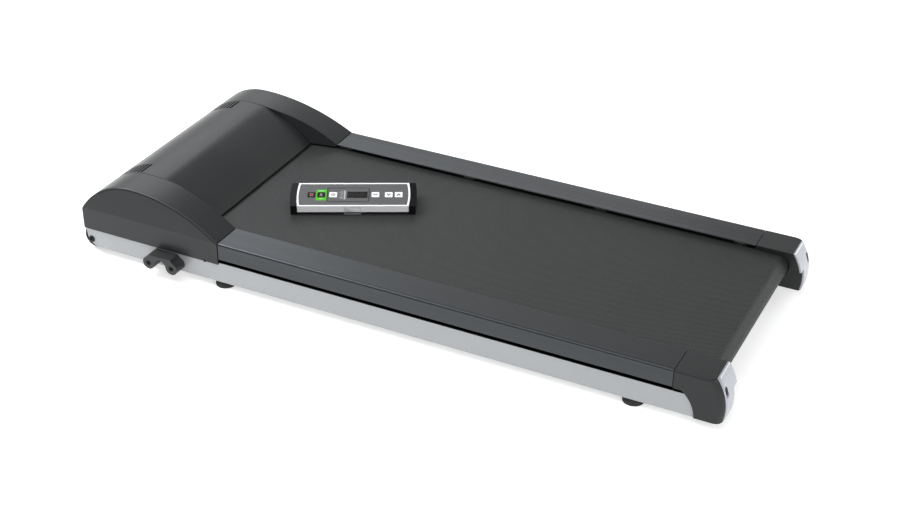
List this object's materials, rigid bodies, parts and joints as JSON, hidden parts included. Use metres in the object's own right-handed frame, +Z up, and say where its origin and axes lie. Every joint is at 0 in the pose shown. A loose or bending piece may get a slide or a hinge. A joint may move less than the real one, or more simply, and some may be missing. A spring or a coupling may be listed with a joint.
{
  "type": "under-desk treadmill",
  "caption": "Low flat treadmill with a rounded motor hood, a walking belt between foot rails, capped roller ends, levelling feet, transport wheels and a loose key console.",
  "frame": {"origin": "centre of the overall box on the floor", "axes": "+X along the belt from the motor hood to the rear roller, +Y to the walker's right, +Z up"},
  "size_m": [1.638, 0.7, 0.197],
  "materials": {
    "silver_paint": "smooth silver-grey powder coat",
    "black_paint": "black powder coat",
    "deck_board": "waxed black laminate on fibreboard",
    "rubber": "matte moulded rubber",
    "zinc_steel": "zinc plated",
    "black_steel": "black oxide",
    "nylon": "natural nylon",
    "rail_aluminium": "dark grey anodised, finely ribbed",
    "hood_plastic": "fine grained charcoal plastic",
    "silver_plastic": "satin silver lacquer",
    "walking_belt": "woven-texture belt surface",
    "bare_steel": "turned steel",
    "pulley_metal": "machined",
    "cast_flywheel": "machined casting",
    "motor_enamel": "black enamel",
    "drive_belt": "ribbed rubber",
    "circuit_board": "green solder mask",
    "black_plastic": "moulded black plastic",
    "console_silver": "silver lacquer",
    "console_sheet": "printed grey film",
    "display_window": "smoked window",
    "clear_plastic": "clear acrylic",
    "black_key": "printed key",
    "white_key": "printed key"
  },
  "bodies": {
    "root": {"side_member_left": "silver_paint", "side_member_right": "silver_paint", "cross_members": "black_paint", "belly_pan": "black_paint", "deck": "deck_board", "deck_cushions": "rubber", "deck_screws": "zinc_steel", "rail_clips": "nylon", "foot_rail_left": "rail_aluminium", "foot_rail_right": "rail_aluminium", "walking_belt": "walking_belt", "front_roller_axle": "bare_steel", "rear_roller_axle": "bare_steel", "motor_case": "motor_enamel", "motor_cradle": "black_paint", "drive_belt": "drive_belt", "heat_sink": "pulley_metal", "controller_board": "circuit_board", "speed_sensor": "black_plastic", "power_inlet": "black_plastic", "hood_center_panel": "hood_plastic", "hood_side_left": "hood_plastic", "hood_side_right": "hood_plastic", "hood_screws": "zinc_steel", "rear_cap_left": "hood_plastic", "rear_cap_right": "hood_plastic", "rear_plate_left": "silver_plastic", "rear_plate_right": "silver_plastic", "wheel_bolts": "black_steel", "side_bracket_left": "black_plastic", "side_bracket_right": "black_plastic", "bracket_screws": "black_steel"},
    "front_roller": {"front_roller_drum": "bare_steel", "front_roller_bearings": "bare_steel", "roller_pulley": "pulley_metal"},
    "rear_roller": {"rear_roller_drum": "bare_steel", "rear_roller_bearings": "bare_steel"},
    "motor_rotor": {"motor_shaft": "bare_steel", "motor_pulley": "cast_flywheel"},
    "tension_bolt_left": {"tension_bolt_left": "zinc_steel"},
    "tension_bolt_right": {"tension_bolt_right": "zinc_steel"},
    "power_rocker": {"power_rocker": "black_plastic"},
    "transport_wheel_left": {"transport_wheel_left": "black_plastic"},
    "transport_wheel_right": {"transport_wheel_right": "black_plastic"},
    "foot_front_left": {"foot_front_left": "rubber"},
    "foot_front_right": {"foot_front_right": "rubber"},
    "foot_rear_left": {"foot_rear_left": "rubber"},
    "foot_rear_right": {"foot_rear_right": "rubber"},
    "console": {"console_housing": "console_silver", "console_end_caps": "black_plastic", "console_overlay": "console_sheet", "console_display": "display_window", "console_board": "circuit_board", "console_tab": "clear_plastic"},
    "stop_key": {"stop_key": "black_key"},
    "start_key": {"start_key": "black_key"},
    "mode_key": {"mode_key": "white_key"},
    "select_key": {"select_key": "white_key"},
    "down_key": {"down_key": "white_key"},
    "up_key": {"up_key": "white_key"}
  },
  "joints": [
    {"name": "motor_spin", "type": "hinge", "parent": "root", "child": "motor_rotor", "pos_m": [-0.69, 0, 0.114], "axis": [0, 1, 0], "continuous": true},
    {"name": "front_roller_spin", "type": "hinge", "parent": "root", "child": "front_roller", "pos_m": [-0.575, 0, 0.085], "axis": [0, 1, 0], "continuous": true},
    {"name": "rear_roller_spin", "type": "hinge", "parent": "root", "child": "rear_roller", "pos_m": [0.758, 0, 0.085], "axis": [0, 1, 0], "continuous": true},
    {"name": "tension_bolt_left_turn", "type": "hinge", "parent": "root", "child": "tension_bolt_left", "pos_m": [0.786, -0.298, 0.085], "axis": [1, 0, 0], "continuous": true},
    {"name": "transport_wheel_left_spin", "type": "hinge", "parent": "root", "child": "transport_wheel_left", "pos_m": [-0.789, -0.295, 0.036], "axis": [0, 1, 0], "continuous": true},
    {"name": "tension_bolt_right_turn", "type": "hinge", "parent": "root", "child": "tension_bolt_right", "pos_m": [0.786, 0.298, 0.085], "axis": [1, 0, 0], "continuous": true},
    {"name": "transport_wheel_right_spin", "type": "hinge", "parent": "root", "child": "transport_wheel_right", "pos_m": [-0.789, 0.295, 0.036], "axis": [0, 1, 0], "continuous": true},
    {"name": "power_rocker_tilt", "type": "hinge", "parent": "root", "child": "power_rocker", "pos_m": [-0.795, -0.1, 0.046], "axis": [0, 1, 0], "range_deg": [-9, 9]},
    {"name": "foot_front_left_level", "type": "slide", "parent": "root", "child": "foot_front_left", "axis": [0, 0, -1], "range_m": [-0.003, 0.01]},
    {"name": "foot_front_right_level", "type": "slide", "parent": "root", "child": "foot_front_right", "axis": [0, 0, -1], "range_m": [-0.003, 0.01]},
    {"name": "foot_rear_left_level", "type": "slide", "parent": "root", "child": "foot_rear_left", "axis": [0, 0, -1], "range_m": [-0.003, 0.01]},
    {"name": "foot_rear_right_level", "type": "slide", "parent": "root", "child": "foot_rear_right", "axis": [0, 0, -1], "range_m": [-0.003, 0.01]},
    {"name": "console_lift", "type": "slide", "parent": "root", "child": "console", "axis": [0, 0, 1], "range_m": [0, 0.3]},
    {"name": "stop_key_press", "type": "slide", "parent": "console", "child": "stop_key", "axis": [-0.0611, 0.12, -0.9909], "range_m": [0, 0.0006], "stiffness_N_per_m": 800},
    {"name": "start_key_press", "type": "slide", "parent": "console", "child": "start_key", "axis": [-0.0611, 0.12, -0.9909], "range_m": [0, 0.0006], "stiffness_N_per_m": 800},
    {"name": "mode_key_press", "type": "slide", "parent": "console", "child": "mode_key", "axis": [-0.0611, 0.12, -0.9909], "range_m": [0, 0.0006], "stiffness_N_per_m": 800},
    {"name": "select_key_press", "type": "slide", "parent": "console", "child": "select_key", "axis": [-0.0611, 0.12, -0.9909], "range_m": [0, 0.0006], "stiffness_N_per_m": 800},
    {"name": "down_key_press", "type": "slide", "parent": "console", "child": "down_key", "axis": [-0.0611, 0.12, -0.9909], "range_m": [0, 0.0006], "stiffness_N_per_m": 800},
    {"name": "up_key_press", "type": "slide", "parent": "console", "child": "up_key", "axis": [-0.0611, 0.12, -0.9909], "range_m": [0, 0.0006], "stiffness_N_per_m": 800}
  ],
  "couplings": [
    {"joint": "front_roller_spin", "follows": "motor_spin", "ratio": 0.4},
    {"joint": "rear_roller_spin", "follows": "motor_spin", "ratio": 0.4}
  ]
}
